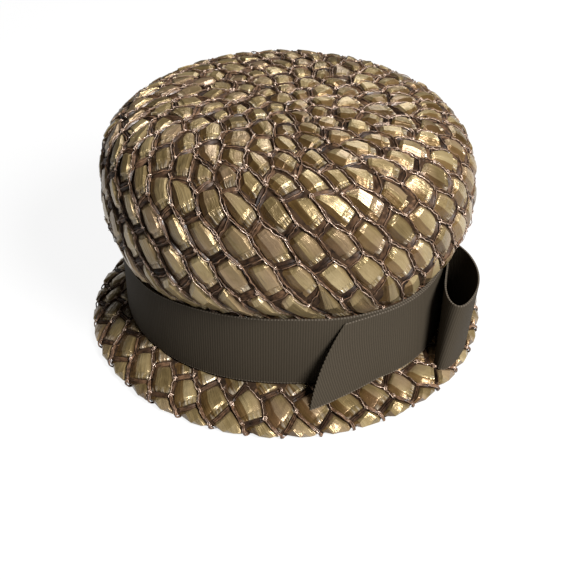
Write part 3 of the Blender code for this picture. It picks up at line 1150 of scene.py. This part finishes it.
def layRibbon(name, stations, closed, rows=10, shape=None):
    # a ribbon through pairs of lower and upper points; the UV map holds the length along it, for the ribs
    bpy.ops.object.select_all(action="DESELECT")
    bpy.ops.mesh.primitive_grid_add(x_subdivisions=len(stations) - 1, y_subdivisions=rows, size=2)
    obj = bpy.context.object
    obj.name = name
    mesh = obj.data
    lengths = [(0.0, 0.0)]
    for (low0, high0), (low1, high1) in zip(stations, stations[1:]):
        lengths.append((lengths[-1][0] + (low1 - low0).length, lengths[-1][1] + (high1 - high0).length))
    layer = mesh.uv_layers.active
    layer.name = "cell"
    last = len(stations) - 1
    for loop in mesh.loops:
        vert = mesh.vertices[loop.vertex_index].co
        edges, up = lengths[round((vert.x + 1) / 2 * last)], (vert.y + 1) / 2
        layer.data[loop.index].uv = (mix(*edges, up), up)
    for vert in mesh.vertices:
        station, up = round((vert.co.x + 1) / 2 * last), (vert.co.y + 1) / 2
        low, high = stations[station]
        vert.co = low.lerp(high, up) + (shape(station, up) if shape else Vector())
    if closed:
        bpy.ops.object.mode_set(mode="EDIT")
        bpy.ops.mesh.select_all(action="SELECT")
        bpy.ops.mesh.remove_doubles(threshold=weldReach)
        bpy.ops.object.mode_set(mode="OBJECT")
    wall = obj.modifiers.new("wall", "SOLIDIFY")
    wall.thickness = ribbon["thickness"] * ribbon["laidShare"]
    wall.offset = -1      # away from the crown
    bpy.ops.object.modifier_apply(modifier=wall.name)
    bpy.ops.object.shade_smooth_by_angle(angle=math.radians(40))
    return obj, sum(lengths[-1]) / 2


def bandStations():
    stations = []
    for step in range(361):
        angle = -step + 180.0
        turn = math.radians(angle)
        ripple = sum(high * math.sin(turn * waves + start) for high, waves, start in ribbon["ripples"])
        stand = -form["bandThickness"] + ribbon["slack"] + ripple * 0.5
        low = form["footZ"] - lineAt("footDip", turn)
        high = form["bandTop"] + ripple - lineAt("topDip", turn)
        stations.append((aroundBand(angle, stand, low), aroundBand(angle, stand + ribbon["slack"], high)))
    return stations


def tailStations():
    stations = []
    for step in range(ribbon["tailSteps"] + 1):
        share = step / ribbon["tailSteps"]
        lowAngle = mix(ribbon["tailRoot"], ribbon["tailTip"], share)
        highAngle = mix(ribbon["tailRoot"], ribbon["tailCorner"], share)
        low = ribbonEdges(lowAngle, tailStand(lowAngle), lowAngle, form["gap"])[0]
        high = ribbonEdges(highAngle, tailStand(highAngle), highAngle, form["gap"])[1]
        stations.append((low, high))
    return stations


def tailCut(station, up):
    # the slanted cut bows out towards the front and has small teeth
    forward = Vector((-1, 0, 0)) * ease((station / ribbon["tailSteps"] - 0.5) / 0.5)
    teeth = ribbon["cutTeeth"] * (round(up * ribbon["tailRows"]) % 2) * (station == ribbon["tailSteps"])
    return forward * (ribbon["cutBow"] * 4 * up * (1 - up) + teeth)


def loopStations():
    stations = []
    route = smoothRoute(ribbon["loopPlan"], 8)
    layer = ribbon["thickness"] + form["gap"]
    for step, (toNose, outShare) in enumerate(route):
        angle = mix(ribbon["loopRoot"], ribbon["loopNose"], toNose)
        lowAngle = mix(ribbon["loopRoot"], ribbon["loopFootNose"], toNose)
        lowBase, highBase = tailStand(angle) + layer, form["gap"] + layer
        legs = 2 * layer if 2 * step > len(route) else 0.0
        low = lowBase + max(outShare * (ribbon["loopReach"] - lowBase), legs)
        high = highBase + max(outShare * (ribbon["loopReach"] + ribbon["loopSplay"] - highBase), legs)
        stations.append(ribbonEdges(lowAngle, low, angle, high))
    return stations


band, bandLength = layRibbon("ribbonBand", bandStations(), closed=True)
finishPiece(band, grosgrain, "ribbon", "ribbon_band")
tail, tailLength = layRibbon("bowTail", tailStations(), closed=False, rows=ribbon["tailRows"], shape=tailCut)
finishPiece(tail, grosgrain, "ribbon", "bow_tail")
loop, loopLength = layRibbon("bowLoop", loopStations(), closed=False)
finishPiece(loop, grosgrain, "ribbon", "bow_loop")
print("ribbon laid: band", round(bandLength, 3), "tail", round(tailLength, 3), "loop", round(loopLength, 3))


# floor, light and camera
studio = {
    "elevation": math.radians(35.5),
    "distance": 0.643,
    "aimHeight": 0.0085,
    "focalPixels": 1080.0,
    "centerX": 285.3,
    "frame": 580.0,
    "filmWidth": 36.0,
    "floor": (0.08, 0.08, 0.08), "floorGlow": 0.89,
    "tableAt": (0.0, 0.20, 0.0), "tableSize": (0.84, 0.96, 1.0),
    "sky": 0.07, "skyTint": (1.0, 0.97, 0.92),
    "lightAim": (0.0, 0.0, 0.06),
    "keyPower": 52.0, "keySize": 0.56, "keyAt": (0.73, -0.82, 0.99),
    "fillPower": 0.1, "fillSize": 0.8, "fillAt": (-0.8, -0.6, 0.5),
    "backPower": 4.5, "backSize": 0.5, "backAt": (0.30, 0.80, 0.85),
}


def aimAt(obj, target):
    direction = Vector(target) - obj.location
    obj.rotation_euler = direction.to_track_quat("-Z", "Y").to_euler()


def addSoftLight(name, place, size, power):
    bpy.ops.object.light_add(type="AREA", location=place)
    light = bpy.context.object
    light.name = name
    light.data.shape = "DISK"
    light.data.size = size
    light.data.energy = power
    aimAt(light, studio["lightAim"])


def addStudio():
    bpy.ops.mesh.primitive_plane_add(size=1.0, location=studio["tableAt"])
    floor = bpy.context.object
    floor.scale = studio["tableSize"]
    floor.name = "paleFloor"
    material, _, _, shader = newMaterial("paleFloor", 0.9)
    shader.inputs["Base Color"].default_value = (*studio["floor"], 1.0)
    shader.inputs["Emission Color"].default_value = (1.0, 1.0, 1.0, 1.0)
    shader.inputs["Emission Strength"].default_value = studio["floorGlow"]
    floor.data.materials.append(material)
    world = bpy.data.worlds.new("studioSky")
    bpy.context.scene.world = world
    world.use_nodes = True
    background = world.node_tree.nodes["Background"]
    background.inputs["Color"].default_value = (*studio["skyTint"], 1.0)
    background.inputs["Strength"].default_value = studio["sky"]
    bpy.context.scene.view_settings.view_transform = "Standard"
    for kind in ("key", "fill", "back"):
        addSoftLight(kind + "Light", studio[kind + "At"], studio[kind + "Size"], studio[kind + "Power"])


def addCamera():
    data = bpy.data.cameras.new("photoCamera")
    camera = bpy.data.objects.new("photoCamera", data)
    bpy.context.scene.collection.objects.link(camera)
    rise, distance = studio["elevation"], studio["distance"]
    camera.location = (0, -distance * math.cos(rise), studio["aimHeight"] + distance * math.sin(rise))
    aimAt(camera, (0, 0, studio["aimHeight"]))
    data.sensor_width = studio["filmWidth"]
    data.lens = studio["focalPixels"] * studio["filmWidth"] / studio["frame"]
    data.shift_x = (studio["frame"] / 2 - studio["centerX"]) / studio["frame"]
    data.clip_start, data.clip_end = 0.01, 20.0
    bpy.context.scene.camera = camera


addStudio()
addCamera()
print("studio ready")
